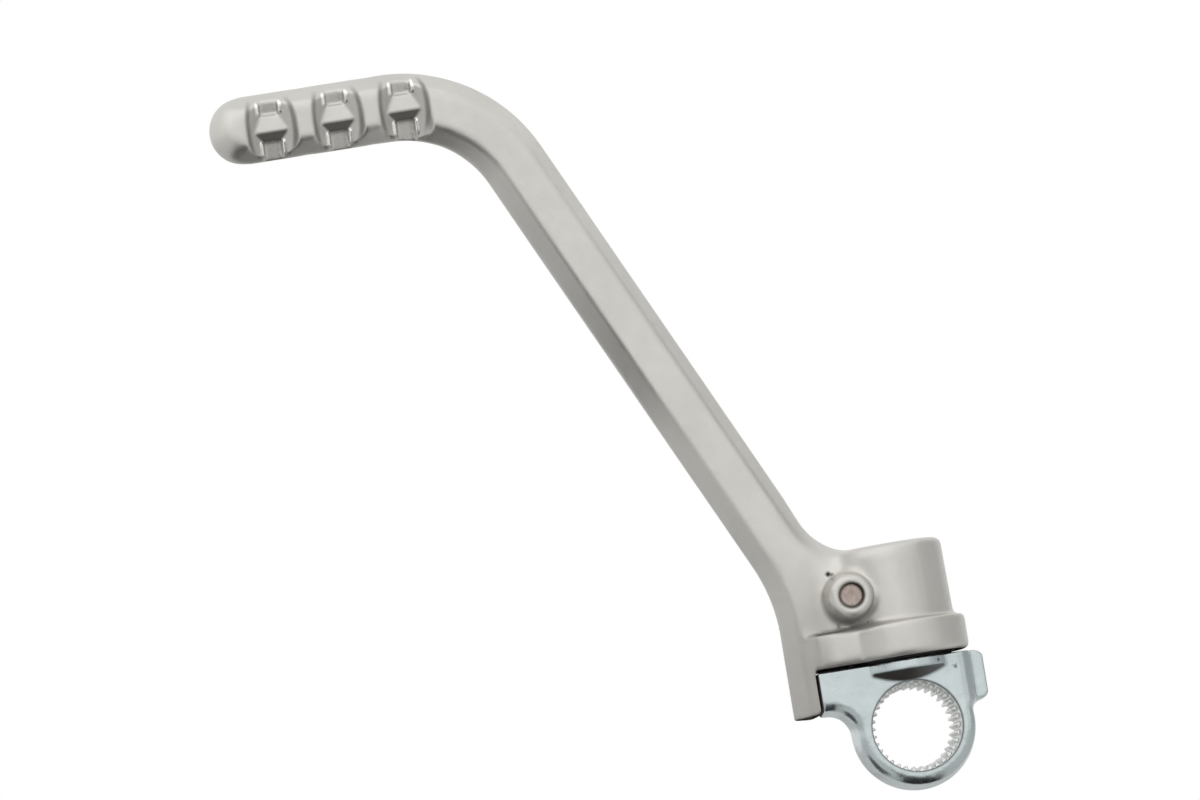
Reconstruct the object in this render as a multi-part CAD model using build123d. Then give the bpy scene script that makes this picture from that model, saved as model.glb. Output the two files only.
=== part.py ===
from build123d import *
import os
from math import cos, pi, radians, sin, sqrt, tan

os.makedirs("parts", exist_ok=True)

# Millimetres. The spline axis is Y and the pivot axis is Z; they cross at the origin.
# The engine side faces -Y, and the lever is drawn folded, with its peg towards -X.

# Clearances
RUN_CLEAR = 0.05
AXIAL_GAP = 0.8
LEG_GAP = 0.6
STOP_GAP = 0.4
SEAL_CLEAR = 0.3
GROOVE_CLEAR = 0.3
TRACK_CLEAR = 0.3
POCKET_CLEAR = 0.1
SPRING_CLEAR = 0.2

# Hub: splined ring
SPLINE_TEETH = 34
SPLINE_MINOR_R = 10.5
SPLINE_DEPTH = 1.5
SPLINE_ROOT = 0.24
SPLINE_TIP = 0.26
LAND_DEPTH = 6.0
MOUTH_CHAMFER = 0.2
RING_WALL = 4.6
HUB_HALF_DEPTH = 10.0
HUB_DRAFT = 7.0
HUB_EDGE_R = 2.4

# Hub: flange, seat and stop lug
FLANGE_TOP = 17.7
FLANGE_LEFT = 24.0
FLANGE_RIGHT = 17.2
FLANGE_DEPTH = 11.4
FLANGE_CORNER_R = 4.0
LEFT_NECK_R = 6.0
RIGHT_NECK_R = 2.6
SEAT_PROUD = 4.2
SEAT_RIM = 2.7
SEAT_SLOPE = 31.0
LUG_REACH = 4.1
LUG_DEPTH = 13.2
LUG_SET_BACK = 6.0
LUG_CORNER_R = 3.0
LUG_HEEL_R = 3.8
LUG_HEEL_DROP = 0.4
LUG_STOP_LIFT = 3.9
LUG_EDGE_R = 1.2

# Hub: pivot pin
PIN_R = 11.5
PIN_CHAMFER = 1.0

# Lever: barrel and collar
BARREL_WALL = 3.9
BARREL_H = 21.0
BARREL_DRAFT = 1.0
BARREL_EDGE_R = 2.2
BARREL_ROOF = 3.2
COLLAR_STEP = 2.7
COLLAR_H = 9.4
COLLAR_SOLE_R = 1.6

# Lever: leg
LEG_T = 6.3
LEG_DROP = 11.9
LEG_HALF_DEPTH = 13.5
LEG_DRAFT = 29.0
LEG_EDGE_R = 2.0
LEG_INSET = 0.3
LEG_TOE_R = 2.2

# Lever: arm, bend and peg
ARM_W = 17.2
ARM_HALF_DEPTH = 7.8
ARM_DRAFT = 30.0
ARM_LEAN = 25.3
ARM_SHIFT = -2.5
ARM_KNEE_R = 45.0
ARMPIT_R = 17.0
ARMPIT_DIP = 0.5
BEND_R = 35.0
PEG_Z = 183.5
PEG_T = 17.9
PEG_TIP = 159.0
SOFT_EDGE_R = 2.6
CRISP_EDGE_R = 1.5
PARTING_R = 3.0

# Lever: grip teeth sunk in the peg
TEETH = 3
TOOTH_FIRST = 16.0
TOOTH_PITCH = 17.8
TOOTH_SINK = 3.9
TOOTH_BED_SLOPE = 35.0
TOOTH_RIM_H = 1.6
TOOTH_RIM_SLOPE = 66.0
TOOTH_RISE = 1.45
TOOTH_ABOVE = 3.7
TOOTH_BELOW = 3.0
TOOTH_SKEW = 0.2
TOOTH_TURN = 15.0
TOOTH_SLOT_W = 5.0
TOOTH_SLOT_SINK = 1.1

# Lever: boss and retaining pin
RETAINER_R = 3.0
RETAINER_BITE = 1.9
RETAINER_SHARE = 0.405
RETAINER_SINK = 0.4
RETAINER_CHAMFER = 0.45
RETAINER_BACK = 6.4
BOSS_WALL = 2.7
BOSS_PROUD = 1.6
BOSS_DRAFT = 7.0
BOSS_EDGE_R = 1.6
BOSS_MOUTH = 0.3
BOSS_MOUTH_DEPTH = 1.2

# Detent
SWING = 90.0
BALL_R = 2.5
BALL_SHOW = 1.4
BALL_ORBIT = 5.6
DIMPLE_EXTRA = 0.2
SPRING_WIRE = 1.0
SPRING_LENGTH = 10.0
SPRING_TURNS = 5

# Dust seal
SEAL_SECTION = 1.9

# Sizes that follow from those above
SPLINE_MAJOR_R = SPLINE_MINOR_R + SPLINE_DEPTH
RING_R = SPLINE_MAJOR_R + RING_WALL
FLANGE_BOTTOM = FLANGE_TOP - FLANGE_DEPTH
SEAT_R = HUB_HALF_DEPTH + SEAT_PROUD
LUG_RIGHT = FLANGE_RIGHT + LUG_REACH
LUG_BOTTOM = FLANGE_TOP - LUG_DEPTH
LUG_LOW = LUG_BOTTOM - LUG_HEEL_DROP
LUG_FRONT = LUG_SET_BACK - HUB_HALF_DEPTH
BORE_R = PIN_R + RUN_CLEAR
BARREL_R = BORE_R + BARREL_WALL
COLLAR_R = BARREL_R + COLLAR_STEP
COLLAR_EDGE_R = 0.45 * COLLAR_STEP
COLLAR_NECK_R = 0.5 * COLLAR_STEP
COLLAR_BOTTOM = FLANGE_TOP + AXIAL_GAP
COLLAR_TOP = COLLAR_BOTTOM + COLLAR_H
BARREL_TOP = COLLAR_TOP + BARREL_H
BORE_TOP = BARREL_TOP - BARREL_ROOF
PIN_TOP = BORE_TOP - AXIAL_GAP
LEG_IN = FLANGE_LEFT + LEG_GAP
LEG_OUT = LEG_IN + LEG_T
LEG_TOE = COLLAR_BOTTOM - LEG_DROP
LEG_STOP_HALF = (LEG_T - LEG_INSET) / tan(radians(LEG_DRAFT))
LUG_IN = LEG_STOP_HALF + STOP_GAP
LUG_BACK = LEG_IN + 0.5 * LEG_T
RETAINER_X = -(PIN_R + RETAINER_R - RETAINER_BITE)
RETAINER_Z = COLLAR_TOP + RETAINER_SHARE * BARREL_H
BOSS_R = RETAINER_R + BOSS_WALL
BOSS_FRONT = BARREL_R + BOSS_PROUD
BALL_Z = PIN_TOP + BALL_SHOW - BALL_R
BALL_HOLE_R = BALL_R + POCKET_CLEAR
SPRING_R = BALL_HOLE_R - SPRING_CLEAR - SPRING_WIRE / 2
SPRING_TOP = BALL_Z - sqrt(BALL_R**2 - (SPRING_R - SPRING_WIRE / 2) ** 2) - RUN_CLEAR
SPRING_FOOT = SPRING_TOP - SPRING_LENGTH
PARTING_LOSS = PARTING_R * (1 / cos(radians(ARM_DRAFT)) - 1)
ARM_HALF = ARM_W / 2 + PARTING_LOSS
ARMPIT_Z = BARREL_TOP + PARTING_LOSS - ARMPIT_DIP


# Small helpers
def on_arm(offset, height):
    """Point at this height, this far to the right of the middle line of the arm."""
    lean = radians(ARM_LEAN)
    return ((ARM_SHIFT + offset - height * sin(lean)) / cos(lean), height)


def rounded(face, point, radius):
    """The flat shape with its corner nearest the point rounded."""
    corner = face.vertices().sort_by_distance(Vector(point[0], point[1], 0))[0]
    return fillet(corner, radius)


def block(x0, x1, y0, y1, z0, z1):
    """Plain block between these limits."""
    return Pos((x0 + x1) / 2, (y0 + y1) / 2, (z0 + z1) / 2) * Box(x1 - x0, y1 - y0, z1 - z0)


def post(radius, z0, z1):
    """Upright round bar on the pivot axis."""
    return Pos(0, 0, (z0 + z1) / 2) * Cylinder(radius, z1 - z0)


def along_y(radius, x, z, y0, y1):
    """Round bar that lies along the spline axis."""
    return Pos(x, (y0 + y1) / 2, z) * Rot(90, 0, 0) * Cylinder(radius, y1 - y0)


def edges_at(solid, y, wanted):
    """Edges lying at this depth whose middle passes the test."""
    flat = [e for e in solid.edges() if all(abs((e @ t).Y - y) < 0.01 for t in (0, 0.5, 1))]
    return ShapeList([e for e in flat if wanted(e @ 0.5)])


# Lever: forged blank of arm, bend and peg, drafted both ways from the parting line
def in_the_bend(p):
    """True on the left and lower side of the lever, inside its bend."""
    lean = radians(ARM_LEAN)
    corner = on_arm(0, PEG_Z)
    away = sqrt((p.X - corner[0]) ** 2 + (p.Z - corner[1]) ** 2)
    left = p.X * cos(lean) + p.Z * sin(lean) < ARM_SHIFT
    turn = radians(90 - ARM_LEAN) / 2
    return left and p.Z < PEG_Z - 1 and away > BEND_R * (1 / cos(turn) - 1)


def out_of_bend(p):
    """True on the right and upper side of the lever, short of the tip."""
    return not in_the_bend(p) and p.Z > RETAINER_Z and 5 - PEG_TIP < p.X < -10


def make_blank():
    lean = radians(ARM_LEAN)
    left = -LEG_OUT - PARTING_LOSS
    right = BARREL_R / 2
    peg_low = PEG_Z - PEG_T / 2 - PARTING_LOSS
    peg_high = PEG_Z + PEG_T / 2 + PARTING_LOSS
    toe = LEG_TOE - 6
    tip = -PEG_TIP - 3
    knee = (left, (ARM_SHIFT - ARM_HALF - left * cos(lean)) / sin(lean))
    inner = on_arm(-ARM_HALF, peg_low)
    outer = on_arm(ARM_HALF, peg_high)
    armpit = on_arm(ARM_HALF, ARMPIT_Z)
    face = Polygon(
        (left, toe), (right, toe), (right, ARMPIT_Z), armpit, outer,
        (tip, peg_high), (tip, peg_low), inner, knee, align=None)
    face = rounded(face, knee, ARM_KNEE_R)
    face = rounded(face, inner, BEND_R - ARM_HALF)
    face = rounded(face, outer, BEND_R + ARM_HALF)
    face = rounded(face, armpit, ARMPIT_R)
    blank = extrude(Plane.XZ * face, amount=ARM_HALF_DEPTH, both=True, taper=ARM_DRAFT)
    for y in (-ARM_HALF_DEPTH, ARM_HALF_DEPTH):
        blank = fillet(edges_at(blank, y, in_the_bend), CRISP_EDGE_R)
        blank = fillet(edges_at(blank, y, out_of_bend), SOFT_EDGE_R)
    blank = fillet(edges_at(blank, 0, in_the_bend), PARTING_R)
    blank = fillet(edges_at(blank, 0, out_of_bend), PARTING_R)
    return blank


# Lever: rounded tip of the peg
def make_tip_trim():
    radius = PEG_T / 2
    middle = Pos(radius - PEG_TIP, 0, PEG_Z)
    behind = block(-PEG_TIP - 9, radius - PEG_TIP, -PEG_T, PEG_T, PEG_Z - PEG_T, PEG_Z + PEG_T)
    return behind - middle * Sphere(radius)


# Lever: the flared pocket round one grip tooth, cut square to the peg, with a slot behind the tooth
def make_tooth_pocket(x):
    root = ARM_HALF_DEPTH - TOOTH_SINK
    rim = ARM_HALF_DEPTH - TOOTH_RIM_H
    mouth = ARM_HALF_DEPTH + 3
    half = TOOTH_SLOT_W / 2
    wide = half + (rim - root) / tan(radians(TOOTH_BED_SLOPE))
    open_half = wide + (mouth - rim) / tan(radians(TOOTH_RIM_SLOPE))
    bed = Polygon(
        (-half, -root), (half, -root), (wide, -rim), (open_half, -mouth),
        (-open_half, -mouth), (-wide, -rim), align=None)
    pocket = extrude(bed, amount=PEG_T, both=True)
    floor = root - TOOTH_SLOT_SINK
    pocket += block(-half, half, -root - 1, -floor, -PEG_T, PEG_T)
    roof = Polygon(
        (1 - floor, -TOOTH_BELOW), (-root, -TOOTH_BELOW), (-root - TOOTH_RISE, -TOOTH_SKEW),
        (-root, TOOTH_ABOVE), (1 - floor, TOOTH_ABOVE), align=None)
    tooth = extrude(Plane.YZ * roof, amount=open_half, both=True)
    return Pos(x, 0, PEG_Z) * Rot(TOOTH_TURN, 0, 0) * (pocket - tooth)


# Lever: barrel and collar, turned about the pivot axis
def make_barrel():
    top_r = BARREL_R - BARREL_H * tan(radians(BARREL_DRAFT))
    corner = (COLLAR_R, COLLAR_TOP)
    neck = (BARREL_R, COLLAR_TOP)
    crown = (top_r, BARREL_TOP)
    sole = (COLLAR_R, COLLAR_BOTTOM)
    face = Polygon((0, COLLAR_BOTTOM), sole, corner, neck, crown, (0, BARREL_TOP), align=None)
    face = rounded(face, sole, COLLAR_SOLE_R)
    face = rounded(face, corner, COLLAR_EDGE_R)
    face = rounded(face, neck, COLLAR_NECK_R)
    face = rounded(face, crown, BARREL_EDGE_R)
    return revolve(Plane.XZ * face, Axis.Z)


# Lever: stop leg, and the flat that joins it to the collar
def make_leg():
    ridge = LEG_INSET - LEG_OUT
    flat = ridge + LEG_HALF_DEPTH * tan(radians(LEG_DRAFT))
    front = (flat, -LEG_HALF_DEPTH)
    back = (flat, LEG_HALF_DEPTH)
    face = Polygon(
        (ridge, 0), front, (0, -LEG_HALF_DEPTH), (0, LEG_HALF_DEPTH), back, align=None)
    face = rounded(face, front, LEG_EDGE_R)
    face = rounded(face, back, LEG_EDGE_R)
    low = LEG_TOE - 6
    leg = Pos(0, 0, low) * extrude(face, amount=COLLAR_TOP - low, dir=(0, 0, 1))
    top = [e for e in leg.edges() if (e @ 0.5).Z > COLLAR_TOP - 0.01 and (e @ 0.5).X < -0.01]
    return fillet(ShapeList(top), COLLAR_EDGE_R)


# Lever: the room under the collar and beside the leg that the hub takes up
def sole_cut(x0, x1, deep, level, radius):
    """What is cut away below this height, leaving the front and back edges rounded."""
    low = LEG_TOE - 30
    face = Polygon((-deep, level), (deep, level), (deep, level + 20), (-deep, level + 20), align=None)
    face = rounded(face, (-deep, level), radius)
    face = rounded(face, (deep, level), radius)
    kept = extrude(Plane.YZ * face, amount=2 * LEG_OUT, both=True)
    return block(x0, x1, -deep - 1, deep + 1, low, level + radius) - kept


def make_hub_room():
    room = sole_cut(-LEG_IN, COLLAR_R, LEG_HALF_DEPTH, COLLAR_BOTTOM, COLLAR_SOLE_R)
    return room + sole_cut(-LEG_OUT - 5, -LEG_IN, LEG_STOP_HALF, LEG_TOE, LEG_TOE_R)


# Lever: boss that the retaining pin is pressed into
def make_boss():
    length = BOSS_FRONT - ARM_HALF_DEPTH / 2
    base = BOSS_R + length * tan(radians(BOSS_DRAFT))
    boss = Cone(base, BOSS_R, length, align=(Align.CENTER, Align.CENTER, Align.MIN))
    boss = fillet(boss.edges().sort_by(Axis.Z)[-1], BOSS_EDGE_R)
    return Pos(RETAINER_X, length - BOSS_FRONT, RETAINER_Z) * Rot(90, 0, 0) * boss


# Lever: track and dimples for the detent ball in the roof of the bore
def make_track():
    track_r = BALL_R + TRACK_CLEAR
    ring = Plane.XZ * (Pos(BALL_ORBIT, BALL_Z) * Circle(track_r))
    track = revolve(ring, Axis.Z, SWING)
    for angle in (0, SWING):
        dimple = Pos(BALL_ORBIT, 0, BALL_Z + DIMPLE_EXTRA) * Sphere(track_r)
        track += Rot(0, 0, angle) * dimple
    return track


def make_lever():
    lever = make_blank() - make_tip_trim()
    for i in range(TEETH):
        lever -= make_tooth_pocket(TOOTH_FIRST + i * TOOTH_PITCH - PEG_TIP)
    lever += make_leg()
    lever -= make_hub_room()
    lever += make_barrel()
    lever += make_boss()
    lever -= post(BORE_R, COLLAR_BOTTOM - 5, BORE_TOP)
    seal_top = FLANGE_TOP + SEAL_SECTION + SEAL_CLEAR
    lever -= post(PIN_R + SEAL_SECTION + SEAL_CLEAR, COLLAR_BOTTOM - 5, seal_top)
    lever -= along_y(RETAINER_R, RETAINER_X, RETAINER_Z, -BOSS_FRONT - 1, RETAINER_BACK)
    lever -= along_y(
        RETAINER_R + BOSS_MOUTH, RETAINER_X, RETAINER_Z, -BOSS_FRONT - 1, BOSS_MOUTH_DEPTH - BOSS_FRONT)
    lever -= make_track()
    return lever


# Retaining pin, pressed into the boss
def make_retaining_pin():
    front = RETAINER_SINK - BOSS_FRONT
    pin = along_y(RETAINER_R, RETAINER_X, RETAINER_Z, front, RETAINER_BACK)
    return chamfer(pin.edges().filter_by(GeomType.CIRCLE), RETAINER_CHAMFER)


# Hub: outline of flange, lug and ring, with the hollow corners between them rounded
def neck(level, radius, side):
    """Hollow round between the ring and an edge at this height: its ends and its middle."""
    reach = RING_R + radius
    x = side * sqrt(reach**2 - (level - radius) ** 2)
    z = level - radius
    on_ring = (x * RING_R / reach, z * RING_R / reach)
    on_edge = (x, level)
    dx = on_ring[0] + on_edge[0] - 2 * x
    dz = on_ring[1] + on_edge[1] - 2 * z
    size = sqrt(dx**2 + dz**2)
    return on_edge, (x + radius * dx / size, z + radius * dz / size), on_ring


def make_hub_outline():
    high = FLANGE_TOP + 4
    left = -FLANGE_LEFT - 4
    a, b, c = neck(FLANGE_BOTTOM, LEFT_NECK_R, -1)
    d, e, f = neck(LUG_BOTTOM, RIGHT_NECK_R, 1)
    heel = (LUG_RIGHT, LUG_BOTTOM)
    edges = Polyline(d, heel, (LUG_RIGHT, high), (left, high), (left, FLANGE_BOTTOM), a)
    edges += ThreePointArc(a, b, c) + ThreePointArc(c, (0, -RING_R), f) + ThreePointArc(f, e, d)
    return make_face(edges)


# Hub: stop lug, which stands back from the flange for the leg to come round against
def make_lug_bar(front, back, low):
    top = (LUG_RIGHT, FLANGE_TOP)
    heel = (LUG_RIGHT, low)
    face = Polygon((LUG_IN, low), heel, top, (LUG_IN, FLANGE_TOP), align=None)
    face = rounded(face, top, LUG_CORNER_R)
    face = rounded(face, heel, LUG_HEEL_R)
    return Pos(0, front, 0) * extrude(Plane.XZ * face, amount=front - back)


def make_lug():
    lug = make_lug_bar(0, LUG_BACK, LUG_LOW + LUG_STOP_LIFT)
    return fillet(edges_at(lug, LUG_BACK, lambda p: True), LUG_EDGE_R)


# Hub: the forged body, drafted both ways from its middle
def make_hub_body():
    left = -FLANGE_LEFT - 6
    high = FLANGE_TOP + 6
    deep = HUB_HALF_DEPTH + 1
    body = extrude(Plane.XZ * make_hub_outline(), amount=HUB_HALF_DEPTH, both=True, taper=HUB_DRAFT)
    body -= block(FLANGE_RIGHT, LUG_RIGHT + 1, -deep, LUG_FRONT, LUG_BOTTOM - 9, high)
    corner = FLANGE_RIGHT - FLANGE_CORNER_R
    body = fillet(edges_at(body, -HUB_HALF_DEPTH, lambda p: p.X > FLANGE_RIGHT - 0.6), FLANGE_CORNER_R)
    front = edges_at(body, -HUB_HALF_DEPTH, lambda p: p.X < corner - 0.1 and p.Z < FLANGE_TOP + 1)
    body = fillet(front, HUB_EDGE_R)
    back = edges_at(body, HUB_HALF_DEPTH, lambda p: p.Z < FLANGE_TOP + 1 and p.X < LUG_RIGHT - 2)
    body = fillet(back, HUB_EDGE_R)
    body -= block(left, LUG_RIGHT + 1, -30, 30, FLANGE_TOP, high)
    body -= block(left, -FLANGE_LEFT, -30, 30, 0, FLANGE_TOP)
    side = block(LUG_RIGHT - LUG_HEEL_R, LUG_RIGHT + 1, LUG_FRONT - 1, deep, LUG_LOW, high)
    return body - (side - make_lug_bar(-deep, deep, LUG_LOW))


# Hub: seat for the collar and the pivot pin, turned about the pivot axis
def make_pivot():
    slope = (SEAT_R - PIN_R / 2) * tan(radians(SEAT_SLOPE))
    rim = FLANGE_TOP - SEAT_RIM
    face = Polygon(
        (0, rim - slope), (PIN_R / 2, rim - slope), (SEAT_R, rim), (SEAT_R, FLANGE_TOP),
        (PIN_R, FLANGE_TOP), (PIN_R, PIN_TOP - PIN_CHAMFER), (PIN_R - PIN_CHAMFER, PIN_TOP),
        (0, PIN_TOP), align=None)
    pivot = revolve(Plane.XZ * face, Axis.Z)
    groove = Plane.XZ * (Pos(-RETAINER_X, RETAINER_Z) * Circle(RETAINER_R + GROOVE_CLEAR))
    pivot -= revolve(groove, Axis.Z)
    hole = Pos(BALL_ORBIT, 0, 0) * post(BALL_HOLE_R, SPRING_FOOT, PIN_TOP + 1)
    return pivot - hole


# Hub: serrated bore with a plain land at its mouth
def make_bore():
    pitch = 2 * pi / SPLINE_TEETH
    points = []
    for i in range(SPLINE_TEETH):
        for radius, turn in (
            (SPLINE_MINOR_R, SPLINE_TIP / 2), (SPLINE_MAJOR_R, 0.5 - SPLINE_ROOT / 2),
            (SPLINE_MAJOR_R, 0.5 + SPLINE_ROOT / 2), (SPLINE_MINOR_R, 1 - SPLINE_TIP / 2),
        ):
            angle = (i + turn) * pitch
            points.append((radius * sin(angle), radius * cos(angle)))
    end = HUB_HALF_DEPTH + 1
    bore = extrude(Plane.XZ * Polygon(*points, align=None), amount=end, both=True)
    bore += along_y(SPLINE_MAJOR_R, 0, 0, -end, LAND_DEPTH - HUB_HALF_DEPTH)
    for side in (-1, 1):
        cone = Cone(
            SPLINE_MAJOR_R + MOUTH_CHAMFER, SPLINE_MAJOR_R - 2, 2 + MOUTH_CHAMFER,
            align=(Align.CENTER, Align.CENTER, Align.MIN))
        bore += Pos(0, side * HUB_HALF_DEPTH, 0) * Rot(90 * side, 0, 0) * cone
    return bore


def make_hub():
    hub = make_hub_body() + make_lug()
    swept = block(-LUG_RIGHT - 20, LUG_IN, 0, 60, LEG_TOE - 30, FLANGE_TOP + 20)
    hub -= swept - post(FLANGE_LEFT, LEG_TOE - 40, FLANGE_TOP + 30)
    hub += make_pivot()
    return hub - make_bore()


# Detent ball and spring in the top of the pivot pin
def make_ball():
    return Pos(BALL_ORBIT, 0, BALL_Z) * Sphere(BALL_R)


def make_spring():
    pitch = SPRING_LENGTH / SPRING_TURNS
    wire = Helix(pitch, SPRING_LENGTH + 2 * pitch, SPRING_R)
    start = Plane(origin=wire @ 0, z_dir=wire % 0)
    coil = sweep(start * Circle(SPRING_WIRE / 2), path=wire)
    coil = Pos(BALL_ORBIT, 0, SPRING_FOOT - pitch) * coil
    return coil & (Pos(BALL_ORBIT, 0, 0) * post(BALL_R, SPRING_FOOT, SPRING_TOP))


# Dust seal round the foot of the pivot pin
def make_seal():
    half = SEAL_SECTION / 2
    return Pos(0, 0, FLANGE_TOP + half) * Torus(PIN_R + half, half)


NODES = {
    "lever_arm": make_lever,
    "hub": make_hub,
    "retaining_pin": make_retaining_pin,
    "detent_ball": make_ball,
    "detent_spring": make_spring,
    "dust_seal": make_seal,
}

for name, make in NODES.items():
    export_step(make(), f"parts/{name}.step")
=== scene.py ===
import math
import bpy
from mathutils import Matrix, Vector


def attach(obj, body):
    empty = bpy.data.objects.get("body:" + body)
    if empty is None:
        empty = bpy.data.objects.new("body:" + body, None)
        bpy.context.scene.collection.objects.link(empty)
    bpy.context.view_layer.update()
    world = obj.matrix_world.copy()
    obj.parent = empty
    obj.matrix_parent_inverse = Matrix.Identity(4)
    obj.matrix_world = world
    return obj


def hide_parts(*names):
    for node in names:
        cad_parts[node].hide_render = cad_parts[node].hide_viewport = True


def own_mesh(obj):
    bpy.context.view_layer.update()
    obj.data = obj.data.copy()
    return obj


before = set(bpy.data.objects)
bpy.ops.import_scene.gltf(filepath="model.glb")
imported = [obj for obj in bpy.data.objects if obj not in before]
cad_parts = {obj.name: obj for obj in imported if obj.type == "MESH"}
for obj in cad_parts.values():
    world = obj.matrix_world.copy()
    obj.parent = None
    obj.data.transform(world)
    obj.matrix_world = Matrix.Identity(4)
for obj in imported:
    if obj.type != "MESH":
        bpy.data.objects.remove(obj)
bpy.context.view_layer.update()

# Lever arm
# One aluminium forging: peg with grip teeth, bend, arm, pivot barrel, collar, stop leg and boss.
# The dies and the shot-blasting soften its edges, so the shape is remeshed and smoothed where they do.
LEVER_VOXEL = 0.0004
KEPT_SHARE = 0.45
TOOTH_FIRST = -0.1430
TOOTH_PITCH = 0.0178
TOOTH_COUNT = 3
TOOTH_AT = [TOOTH_FIRST + i * TOOTH_PITCH for i in range(TOOTH_COUNT)]
TOOTH_HALF = 0.0044
TOOTH_BACK = -0.001
TOOTH_Z = 0.1830
POCKET_HALF = 0.0063
POCKET_BOW = 24
SLOT_WALL = 0.0025
RAIL_AT = 0.0030
RAIL_HEIGHT = 0.0004
BOSS_X = -0.0126
BOSS_Z = 0.0364
BOSS_FOOT_R = 0.0068
ARMPIT_X = -0.0125
ARMPIT_Z = 0.0490
FLAT_X = -0.0121
STEP_Z = 0.0281
LEG_X = -0.0235
LEG_CORNER = Vector((-0.0245, 0.0085, 0.0279))
SCRATCH_X = -0.0162
SCRATCH_Z = 0.0288


def copy_of(name, new_name):
    bpy.ops.object.select_all(action="DESELECT")
    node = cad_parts[name]
    node.select_set(True)
    bpy.context.view_layer.objects.active = node
    bpy.ops.object.duplicate()
    made = bpy.context.object
    made.name = new_name
    made.data.name = new_name
    bpy.ops.object.mode_set(mode="EDIT")
    bpy.ops.mesh.select_all(action="SELECT")
    bpy.ops.mesh.remove_doubles(threshold=1e-6)
    bpy.ops.object.mode_set(mode="OBJECT")
    return made


def apply_all(obj):
    bpy.ops.object.select_all(action="DESELECT")
    obj.select_set(True)
    bpy.context.view_layer.objects.active = obj
    for modifier in list(obj.modifiers):
        bpy.ops.object.modifier_apply(modifier=modifier.name)


def apply_weighted(obj, modifier, weight):
    group = obj.vertex_groups.new(name="weight")
    for v in obj.data.vertices:
        amount = weight(v.co)
        if amount > 0:
            group.add([v.index], amount, "REPLACE")
    modifier.vertex_group = group.name
    apply_all(obj)
    obj.vertex_groups.remove(obj.vertex_groups["weight"])


def remesh(obj, voxel):
    modifier = obj.modifiers.new("remesh", "REMESH")
    modifier.mode = "VOXEL"
    modifier.voxel_size = voxel
    modifier.use_smooth_shade = True
    apply_all(obj)


def smooth(obj, rounds, weight):
    modifier = obj.modifiers.new("smooth", "SMOOTH")
    modifier.factor = 0.5
    modifier.iterations = rounds
    apply_weighted(obj, modifier, weight)


def swell(obj, height, weight):
    modifier = obj.modifiers.new("swell", "DISPLACE")
    modifier.strength = height
    modifier.mid_level = 0
    apply_weighted(obj, modifier, weight)


def thin_out(obj, share, weight):
    modifier = obj.modifiers.new("thin", "DECIMATE")
    modifier.ratio = share
    apply_weighted(obj, modifier, weight)


# The weight is 0 where the value is at none, 1 where it is at full, and even in between
def fade(value, none, full):
    return min(1.0, max(0.0, (value - none) / (full - none)))


def everywhere(p):
    return 1.0


def from_tooth(p):
    return min(abs(p.x - x) for x in TOOTH_AT)


def from_boss(p):
    return math.hypot(p.x - BOSS_X, p.z - BOSS_Z)


def from_pivot(p):
    return math.hypot(p.x, p.y)


def on_peg(p):
    return fade(p.x, -0.085, -0.095)


def forged_foot(p):
    beside_barrel = fade(from_pivot(p), 0.0125, 0.0132)
    below_arm = fade(p.z, 0.085, 0.065)
    return beside_barrel * below_arm


def armpit(p):
    near = fade(math.hypot(p.x - ARMPIT_X, p.z - ARMPIT_Z), 0.020, 0.010)
    above_boss = fade(p.z, 0.041, 0.044)
    beside_barrel = fade(from_pivot(p), 0.0128, 0.0135)
    over_barrel = fade(p.z, 0.0478, 0.0484)
    return near * above_boss * max(beside_barrel, over_barrel)


def boss_foot(p):
    off_boss = fade(from_boss(p), 0.0062, 0.0070)
    near = fade(from_boss(p), 0.0110, 0.0085)
    in_front = fade(p.y, -0.005, -0.007)
    return off_boss * near * in_front


def collar_flat(p):
    near = fade(abs(p.x - FLAT_X), 0.0065, 0.0030)
    outside = fade(abs(p.y), 0.0125, 0.0130)
    below_step = fade(p.z, 0.0300, 0.0285)
    return near * outside * below_step


def leg_corner(p):
    front_or_back = Vector((p.x, abs(p.y), p.z))
    return fade((front_or_back - LEG_CORNER).length, 0.0055, 0.0030)


def leg_edge(p):
    near = fade(abs(p.x - LEG_X), 0.0050, 0.0030)
    outside = fade(abs(p.y), 0.006, 0.007)
    below_knee = fade(p.z, 0.0340, 0.0300)
    return near * outside * below_knee


def peg_tip(p):
    return fade(p.x, -0.1490, -0.1515)


def between_teeth(p):
    off_tooth = fade(from_tooth(p), 0.0060, 0.0085)
    past_bend = fade(p.x, -0.080, -0.095)
    return off_tooth * past_bend


def pocket_top(p):
    upper = fade(p.z, 0.1868, 0.1890)
    in_pocket = fade(from_tooth(p), 0.0095, 0.0075)
    in_front = fade(p.y, 0.0, -0.002)
    return upper * in_pocket * in_front


def slot_sides(p):
    at_wall = fade(abs(from_tooth(p) - SLOT_WALL), 0.0013, 0.0007)
    above_tooth = fade(p.z, 0.1858, 0.1866)
    below_tooth = fade(p.z, 0.1802, 0.1794)
    in_front = fade(p.y, 0.0, -0.001)
    return at_wall * max(above_tooth, below_tooth) * in_front * on_peg(p)


def off_the_teeth(p):
    in_pocket = fade(from_tooth(p), 0.0085, 0.0075)
    in_front = fade(p.y, 0.0, -0.001)
    return 1.0 - in_pocket * in_front


def slot_rail(p):
    on_rail = fade(abs(from_tooth(p) - RAIL_AT), 0.0006, 0.0001)
    upper_slot = fade(p.z, 0.1862, 0.1870) * fade(p.z, 0.1902, 0.1892)
    lower_slot = fade(p.z, 0.1798, 0.1790) * fade(p.z, 0.1752, 0.1763)
    in_front = fade(p.y, -0.001, -0.002)
    return on_rail * max(upper_slot, lower_slot) * in_front * on_peg(p)


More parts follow.
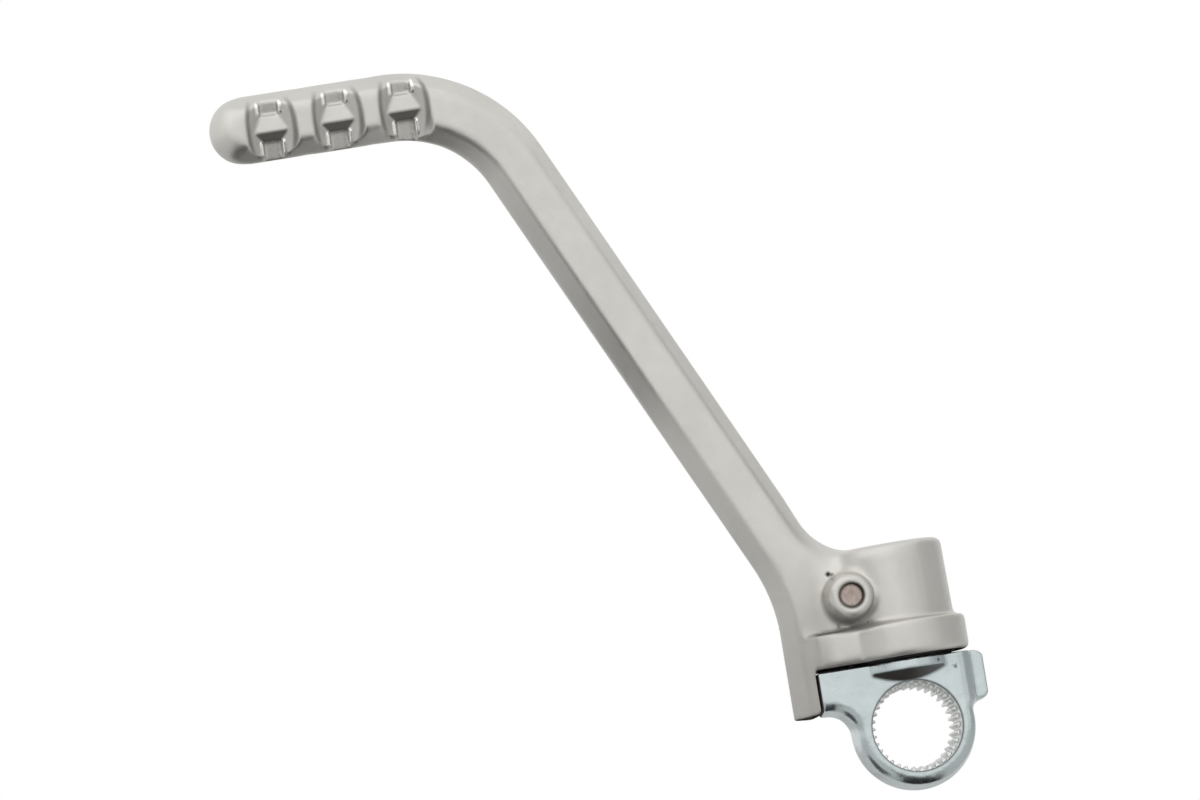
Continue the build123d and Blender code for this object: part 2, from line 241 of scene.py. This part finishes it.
lever = copy_of("lever_arm", "forged_lever")
remesh(lever, LEVER_VOXEL)
for zone, rounds in (
    (everywhere, 2),
    (forged_foot, 10),
    (armpit, 200),
    (boss_foot, 25),
    (collar_flat, 40),
    (leg_corner, 40),
    (leg_edge, 25),
    (peg_tip, 60),
    (between_teeth, 35),
    (pocket_top, 12),
    (slot_sides, 6),
):
    smooth(lever, rounds, zone)
thin_out(lever, KEPT_SHARE, off_the_teeth)
bpy.ops.object.mode_set(mode="EDIT")
bpy.ops.mesh.select_mode(type="FACE")
bpy.ops.mesh.select_all(action="DESELECT")
bpy.ops.object.mode_set(mode="OBJECT")
for face in lever.data.polygons:
    face.select = from_tooth(face.center) < TOOTH_HALF and face.center.y < TOOTH_BACK
bpy.ops.object.mode_set(mode="EDIT")
bpy.ops.mesh.subdivide(number_cuts=1)
bpy.ops.object.mode_set(mode="OBJECT")
swell(lever, RAIL_HEIGHT, slot_rail)
smooth(lever, 2, slot_rail)


def paint(obj, name, weight):
    layer = obj.data.attributes.new(name, "FLOAT", "POINT")
    for v in obj.data.vertices:
        layer.data[v.index].value = weight(v.co, v.normal)


def spot_at(p, place, core, rim):
    return fade((p - Vector(place)).length, rim, core)


# Painted shade: the collar's down-facing underside over the flange is painted near black, as the shade
# in the gap between collar and flange.
def sole_gap_shade(p, n):
    on_sole = fade(p.z, 0.01866, 0.01858)
    faces_down = fade(n.z, -0.5, -0.8)
    return on_sole * faces_down


def forging_pits(p):
    left_pit = spot_at(p, (-0.0167, -0.0080, 0.0432), 0.0004, 0.0009)
    right_pit = spot_at(p, (-0.0157, -0.0081, 0.0427), 0.0003, 0.0009)
    speck = 0.6 * spot_at(p, (-0.0090, -0.0128, 0.0289), 0.0002, 0.0006)
    return max(left_pit, right_pit, speck)


def scratch(p):
    across = fade(abs(p.x - SCRATCH_X), 0.0006, 0.0002)
    along = fade(abs(p.z - SCRATCH_Z), 0.0018, 0.0012)
    in_front = fade(p.y, -0.006, -0.008)
    return 0.5 * across * along * in_front


# Painted shade: a dark line along the step on top of the collar, as the shade in the crease there,
# weaker towards the right.
def step_shade_line(p, n):
    faces_up = fade(n.z, 0.35, 0.7)
    on_step = fade(abs(p.z - STEP_Z), 0.0011, 0.0008)
    in_front = fade(p.y, -0.008, -0.010)
    left_end = fade(p.x, -0.0245, -0.0225)
    right_end = fade(p.x, 0.002, -0.006)
    strength = 0.75 - 0.5 * fade(p.x, -0.017, -0.010)
    return faces_up * on_step * in_front * left_end * right_end * strength


# Painted shade: a dark ring in the hole round the retaining pin, stronger towards the upper right.
def pin_hole_shade(p):
    in_hole = fade(from_boss(p), 0.0038, 0.0034)
    in_front = fade(p.y, -0.012, -0.013)
    to_upper_right = (p.x - BOSS_X) * 0.8 + (p.z - BOSS_Z) * 0.6
    upper_right = 0.5 + 0.5 * to_upper_right / max(from_boss(p), 1e-6)
    return in_hole * in_front * (0.45 + 0.5 * upper_right)


# Painted shade: a dark band round the foot of the boss on its lower half, as the shade under the boss.
def under_boss_shade(p):
    at_foot = fade(abs(from_boss(p) - BOSS_FOOT_R), 0.0014, 0.0006)
    lower_half = fade(p.z, BOSS_Z, 0.0320)
    in_front = fade(p.y, -0.007, -0.009)
    return 0.45 * at_foot * lower_half * in_front


# Painted shade: dark lines along the pocket rims, and dark down-facing lower facets of the teeth and
# the slots below them, as the shade under the teeth.
def tooth_shade(p, n):
    side = from_tooth(p)
    height = p.z - TOOTH_Z
    in_front = fade(p.y, -0.0015, -0.003)
    bowed_rim = POCKET_HALF - POCKET_BOW * height ** 2
    rim = 0.5 * fade(abs(side - bowed_rim), 0.0009, 0.0002) * fade(abs(height), 0.0080, 0.0050)
    lower_facet = fade(side, 0.0048, 0.0042) * fade(n.z, -0.35, -0.6) * fade(p.z, 0.1825, 0.1815)
    lower_slot = fade(side, 0.0024, 0.0020) * fade(p.z, 0.1800, 0.1794)
    return max(rim, 0.75 * lower_facet, 0.65 * lower_slot) * in_front * on_peg(p)


# The stop leg is painted a little darker below its knee.
def darker_leg(p):
    below_knee = fade(p.z, 0.050, 0.020)
    on_leg = fade(p.x, -0.0185, -0.0215)
    return 0.2 * below_knee * on_leg


# The lever's dark layer: painted shade in gaps, creases, round the pin and under boss and teeth, a
# darker stop leg, and real forging pits and a scratch.
def lever_dirt_and_shade(p, n):
    in_gaps = max(sole_gap_shade(p, n), step_shade_line(p, n), pin_hole_shade(p), under_boss_shade(p))
    in_marks = max(forging_pits(p), scratch(p))
    return max(in_gaps, in_marks, tooth_shade(p, n), darker_leg(p))


# Rails beside the slots: real polish from wear, with lower roughness, and a painted highlight, an
# almost white colour.
def lever_wear_and_highlight(p, n):
    return min(1.0, 2 * slot_rail(p))


paint(lever, "dirt_and_shade", lever_dirt_and_shade)
paint(lever, "wear_and_highlight", lever_wear_and_highlight)

MIX_COLOUR_A = 6
MIX_COLOUR_B = 7
MIX_COLOUR_OUT = 2
WHOLE_RANGE = (0, 1)
MIDDLE_RANGE = (0.3, 0.7)


def new_material(name):
    material = bpy.data.materials.new(name)
    material.use_nodes = True
    nodes = material.node_tree.nodes
    links = material.node_tree.links
    return material, nodes, links, nodes["Principled BSDF"]


def dress(obj, material):
    obj.data.materials.clear()
    obj.data.materials.append(material)


def grey(value):
    return (value, value, value, 1)


def noise(nodes, links, scale, detail):
    place = nodes.new("ShaderNodeTexCoord")
    made = nodes.new("ShaderNodeTexNoise")
    made.inputs["Scale"].default_value = scale
    made.inputs["Detail"].default_value = detail
    links.new(place.outputs["Object"], made.inputs["Vector"])
    return made.outputs["Fac"]


def ramp(nodes, links, source, low, high, at=MIDDLE_RANGE):
    made = nodes.new("ShaderNodeValToRGB")
    for element, position, colour in zip(made.color_ramp.elements, at, (low, high)):
        element.position = position
        element.color = colour
    links.new(source, made.inputs["Fac"])
    return made.outputs["Color"]


def layer_of(nodes, name):
    made = nodes.new("ShaderNodeAttribute")
    made.attribute_name = name
    return made.outputs["Fac"]


def painted(nodes, links, source, name, colour):
    made = nodes.new("ShaderNodeMix")
    made.data_type = "RGBA"
    links.new(layer_of(nodes, name), made.inputs["Factor"])
    links.new(source, made.inputs[MIX_COLOUR_A])
    made.inputs[MIX_COLOUR_B].default_value = colour
    return made.outputs[MIX_COLOUR_OUT]


# Under the dark layer, painted shade and dirt alike, the metal turns dull and loses its shine.
def dull_under_dirt_and_shade(nodes, links, shader, metallic):
    dirt_and_shade_layer = layer_of(nodes, "dirt_and_shade")
    metal = ramp(nodes, links, dirt_and_shade_layer, grey(metallic), grey(0), WHOLE_RANGE)
    links.new(metal, shader.inputs["Metallic"])
    shine = ramp(nodes, links, dirt_and_shade_layer, grey(0.5), grey(0.05), WHOLE_RANGE)
    links.new(shine, shader.inputs["Specular IOR Level"])


def grain(nodes, links, shader, height, strength, distance):
    bump = nodes.new("ShaderNodeBump")
    bump.inputs["Strength"].default_value = strength
    bump.inputs["Distance"].default_value = distance
    links.new(height, bump.inputs["Height"])
    links.new(bump.outputs["Normal"], shader.inputs["Normal"])


aluminium, nodes, links, shader = new_material("shot_blasted_aluminium")
dull_under_dirt_and_shade(nodes, links, shader, metallic=0.85)
cloud = noise(nodes, links, scale=60, detail=4)
colour = ramp(nodes, links, cloud, (0.58, 0.565, 0.53, 1), (0.63, 0.615, 0.58, 1))
# Painted highlight: the rails beside the slots are painted almost white.
colour = painted(nodes, links, colour, "wear_and_highlight", (0.95, 0.94, 0.91, 1))
# Near-black colour of the dark layer: painted shade, and real pits and a scratch.
colour = painted(nodes, links, colour, "dirt_and_shade", (0.025, 0.02, 0.015, 1))
links.new(colour, shader.inputs["Base Color"])
satin = noise(nodes, links, scale=350, detail=3)
satin = ramp(nodes, links, satin, grey(0.38), grey(0.46))
satin = painted(nodes, links, satin, "wear_and_highlight", grey(0.25))
satin = painted(nodes, links, satin, "dirt_and_shade", grey(0.9))
links.new(satin, shader.inputs["Roughness"])
peen = noise(nodes, links, scale=1500, detail=3)
grain(nodes, links, shader, peen, strength=0.12, distance=0.0003)
dress(lever, aluminium)
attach(lever, "lever")
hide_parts("lever_arm")

# Hub
# One steel forging with a serrated ring, a flange and a stop lug, zinc plated all over.
# It sits on the engine's serrated kick shaft, and its upright pin carries the lever.
HUB_VOXEL = 0.00025
BORE_RIM_R = 0.0121


def from_bore(p):
    return math.hypot(p.x, p.z)


def below_seat(p):
    return fade(p.z, 0.0176, 0.0170)


def beside_bore(p):
    return fade(from_bore(p), 0.0121, 0.0123)


def off_the_bore(p):
    return fade(from_bore(p), 0.0123, 0.0130) * below_seat(p)


hub = copy_of("hub", "plated_hub")
remesh(hub, HUB_VOXEL)
smooth(hub, 3, beside_bore)
smooth(hub, 20, off_the_bore)
thin_out(hub, KEPT_SHARE, everywhere)


# Painted shade: the flange's up-facing top under the collar is darkened, as the shade in the gap
# between them.
def flange_top_shade(p, n):
    on_top = fade(p.z, 0.01752, 0.01765) * fade(p.z, 0.0183, 0.0180)
    faces_up = fade(n.z, 0.5, 0.8)
    off_back = fade(p.y, 0.0125, 0.0115)
    return 0.35 * on_top * faces_up * off_back


# Painted shade: the flange's left end face is painted dark, as the shade in the gap beside the stop
# leg.
def flange_end_shade(p, n):
    at_end = fade(p.x, -0.0228, -0.0236)
    faces_left = fade(n.x, -0.5, -0.8)
    return 0.75 * at_end * faces_left


# Painted shade: the down-facing underside of the disc above the bore is painted dark, as the dark
# reflection under the overhang, strongest on the left.
def crescent_shade(p, n):
    faces_down = fade(n.z, -0.22, -0.42)
    in_front = fade(p.y, -0.00985, -0.0101)
    above_bore = fade(p.z, 0.0100, 0.0110)
    near = fade(abs(p.x), 0.0125, 0.0110)
    strength = 0.95 - 0.3 * fade(p.x, 0.0, 0.009)
    return faces_down * in_front * above_bore * near * strength


# A dark ring is painted along the front rim of the bore.
def bore_rim_line(p):
    on_rim = fade(abs(from_bore(p) - BORE_RIM_R), 0.0004, 0.0001)
    in_front = fade(p.y, -0.0090, -0.0094)
    return 0.5 * on_rim * in_front


def plating_pits(p):
    upper_pit = spot_at(p, (0.00805, -0.0117, 0.0163), 0.0002, 0.0006)
    lower_pit = spot_at(p, (0.0125, -0.0100, 0.0138), 0.0002, 0.0005)
    return 0.8 * max(upper_pit, lower_pit)


# The hub's dark layer: painted shade on the flange top, its end face and under the disc, a dark ring
# round the bore, and real plating pits.
def hub_dirt_and_shade(p, n):
    on_flange = max(flange_top_shade(p, n), flange_end_shade(p, n), crescent_shade(p, n))
    return max(on_flange, bore_rim_line(p), plating_pits(p))


def hub_cut(p, n):
    return fade(from_bore(p), 0.01205, 0.0119) * below_seat(p)


paint(hub, "dirt_and_shade", hub_dirt_and_shade)
paint(hub, "cut", hub_cut)
zinc, nodes, links, shader = new_material("zinc_plate")
dull_under_dirt_and_shade(nodes, links, shader, metallic=1)
cloud = noise(nodes, links, scale=90, detail=4)
colour = ramp(nodes, links, cloud, (0.46, 0.515, 0.52, 1), (0.53, 0.585, 0.59, 1))
colour = painted(nodes, links, colour, "cut", (0.86, 0.87, 0.85, 1))
# Near-black colour of the dark layer: painted shade, and real plating pits.
colour = painted(nodes, links, colour, "dirt_and_shade", (0.03, 0.025, 0.02, 1))
links.new(colour, shader.inputs["Base Color"])
sheen = noise(nodes, links, scale=500, detail=3)
sheen = ramp(nodes, links, sheen, grey(0.2), grey(0.28))
sheen = painted(nodes, links, sheen, "cut", grey(0.5))
sheen = painted(nodes, links, sheen, "dirt_and_shade", grey(0.9))
links.new(sheen, shader.inputs["Roughness"])
waves = noise(nodes, links, scale=260, detail=4)
grain(nodes, links, shader, waves, strength=0.35, distance=0.0005)
dress(hub, zinc)
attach(hub, "hub")
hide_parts("hub")

# Retaining pin
# Hardened steel dowel pressed into the boss, where it keeps the lever from lifting off its pivot.
# Only its ground, slightly rusty end shows.
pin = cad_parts["retaining_pin"]
stained, nodes, links, shader = new_material("stained_steel")
shader.inputs["Metallic"].default_value = 0.5
shader.inputs["Roughness"].default_value = 0.5
stain = noise(nodes, links, scale=700, detail=4)
colour = ramp(nodes, links, stain, (0.36, 0.29, 0.255, 1), (0.5, 0.43, 0.39, 1))
links.new(colour, shader.inputs["Base Color"])
grain(nodes, links, shader, stain, strength=0.2, distance=0.0002)
dress(pin, stained)

# Detent ball
# Polished bearing ball in the top of the pivot pin, loose in its hole.
# The spring pushes it into the roof of the barrel.
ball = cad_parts["detent_ball"]
polished, nodes, links, shader = new_material("polished_ball")
shader.inputs["Metallic"].default_value = 1.0
shader.inputs["Roughness"].default_value = 0.12
haze = noise(nodes, links, scale=900, detail=2)
colour = ramp(nodes, links, haze, grey(0.62), grey(0.7))
links.new(colour, shader.inputs["Base Color"])
dress(ball, polished)

# Detent spring
# Oiled spring wire, coiled under the ball in the top of the pivot pin.
# It stands on the floor of its hole and is drawn at one length, though it gets shorter when the ball
# is pressed in.
spring = copy_of("detent_spring", "detent_coil")
wire, nodes, links, shader = new_material("oiled_wire")
shader.inputs["Metallic"].default_value = 1.0
shader.inputs["Roughness"].default_value = 0.35
oil = noise(nodes, links, scale=1200, detail=2)
colour = ramp(nodes, links, oil, (0.2, 0.2, 0.21, 1), (0.32, 0.32, 0.33, 1))
links.new(colour, shader.inputs["Base Color"])
dress(spring, wire)
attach(spring, "hub")
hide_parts("detent_spring")
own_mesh(spring)

# Dust seal
# Black rubber ring, moulded in one piece.
# It lies round the foot of the pivot pin, between flange and collar.
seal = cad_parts["dust_seal"]
rubber, nodes, links, shader = new_material("black_rubber")
shader.inputs["Roughness"].default_value = 0.8
dust = noise(nodes, links, scale=800, detail=3)
colour = ramp(nodes, links, dust, grey(0.008), grey(0.02))
links.new(colour, shader.inputs["Base Color"])
dress(seal, rubber)

# Stage
# Plain pale floor well below the part, a white room that camera and metal see, and soft lamps.
# Dark and grey cards below and beside the part, unseen by the camera, give the metal its darker faces.
FLOOR_Z = -0.45
FLOOR_SIZE = 12
UPRIGHT = math.pi / 2
ROOM_LIGHT = 0.8
LAMPS_AIM = Vector((-0.05, 0, 0.1))


def card(name, width, depth, place, colour, turn=0):
    bpy.ops.object.select_all(action="DESELECT")
    bpy.ops.mesh.primitive_plane_add(size=1, location=(0, 0, 0))
    made = bpy.context.object
    made.name = name
    bpy.ops.object.mode_set(mode="EDIT")
    bpy.ops.mesh.select_all(action="SELECT")
    bpy.ops.transform.resize(value=(width, depth, 1))
    bpy.ops.transform.rotate(value=turn, orient_axis="Y", center_override=(0, 0, 0))
    bpy.ops.transform.translate(value=place)
    bpy.ops.object.mode_set(mode="OBJECT")
    material, nodes, links, shader = new_material(name)
    shader.inputs["Base Color"].default_value = grey(colour)
    shader.inputs["Roughness"].default_value = 0.9
    dress(made, material)
    return made


card("pale_floor", FLOOR_SIZE, FLOOR_SIZE, (0, 0, FLOOR_Z), 0.8)
for name, width, depth, place, colour, turn in (
    ("dark_card_hub", 0.06, 0.28, (0.0, -0.10, -0.075), 0.02, 0),
    ("dark_card_peg", 0.12, 0.32, (-0.165, -0.12, 0.07), 0.02, 0),
    ("grey_card_left", 0.20, 0.32, (-0.19, 0.10, -0.12), 0.12, 0),
    ("grey_card_right", 0.35, 0.45, (0.30, 0.025, 0.15), 0.7, UPRIGHT),
):
    card(name, width, depth, place, colour, turn).visible_camera = False

world = bpy.data.worlds.new("studio")
world.use_nodes = True
nodes = world.node_tree.nodes
links = world.node_tree.links
room = nodes["Background"]
room.inputs["Color"].default_value = grey(1)
room.inputs["Strength"].default_value = ROOM_LIGHT
white = nodes.new("ShaderNodeBackground")
white.inputs["Color"].default_value = grey(1)
white.inputs["Strength"].default_value = 1.0
path = nodes.new("ShaderNodeLightPath")
sees_white = path.outputs["Is Camera Ray"]
for ray in ("Is Glossy Ray", "Is Transmission Ray"):
    either = nodes.new("ShaderNodeMath")
    either.operation = "MAXIMUM"
    links.new(sees_white, either.inputs[0])
    links.new(path.outputs[ray], either.inputs[1])
    sees_white = either.outputs["Value"]
mix = nodes.new("ShaderNodeMixShader")
links.new(sees_white, mix.inputs["Fac"])
links.new(room.outputs["Background"], mix.inputs[1])
links.new(white.outputs["Background"], mix.inputs[2])
links.new(mix.outputs["Shader"], nodes["World Output"].inputs["Surface"])
bpy.context.scene.world = world

for name, place, size, power in (
    ("front_box", (-0.4, -3.0, 0.4), 3.0, 6),
    ("top_box", (-0.5, -0.7, 1.4), 2.2, 5),
    ("left_box", (-1.7, 0.9, -0.3), 1.5, 0.5),
    ("right_box", (1.4, -0.3, 0.95), 1.0, 0.5),
):
    bpy.ops.object.select_all(action="DESELECT")
    bpy.ops.object.light_add(type="AREA", location=place)
    lamp = bpy.context.object
    lamp.name = name
    lamp.data.size = size
    lamp.data.energy = power
    lamp.rotation_euler = (LAMPS_AIM - Vector(place)).to_track_quat("-Z", "Y").to_euler()

# Camera
# Long lens in front of the engine side, a little from the left and below, tilted as in the photograph.
# The photograph's frame is placed by the pixel on which the part's origin lies.
LEFT = math.radians(7.0)
BELOW = math.radians(3.0)
TILT = math.radians(9.4)
PIXEL = 0.000264
PHOTO_WIDTH = 1200
PHOTO_HEIGHT = 800
ORIGIN_PIXEL_X = 913.3
ORIGIN_PIXEL_Y = 727.8
AWAY = 8.0
SENSOR_MM = 36
look = Vector((math.sin(LEFT) * math.cos(BELOW), math.cos(LEFT) * math.cos(BELOW), math.sin(BELOW)))
level = look.cross(Vector((0, 0, 1))).normalized()
upright = level.cross(look)
right = level * math.cos(TILT) - upright * math.sin(TILT)
up = level * math.sin(TILT) + upright * math.cos(TILT)
middle_right = (PHOTO_WIDTH / 2 - ORIGIN_PIXEL_X) * PIXEL
middle_up = (ORIGIN_PIXEL_Y - PHOTO_HEIGHT / 2) * PIXEL
spot = right * middle_right + up * middle_up - look * AWAY
bpy.ops.object.select_all(action="DESELECT")
bpy.ops.object.camera_add()
camera = bpy.context.object
camera.data.sensor_width = SENSOR_MM
camera.data.lens = SENSOR_MM * AWAY / (PHOTO_WIDTH * PIXEL)
camera.matrix_world = Matrix((
    (right.x, up.x, -look.x, spot.x),
    (right.y, up.y, -look.y, spot.y),
    (right.z, up.z, -look.z, spot.z),
    (0, 0, 0, 1)))
scene = bpy.context.scene
scene.camera = camera
scene.view_settings.view_transform = "Standard"
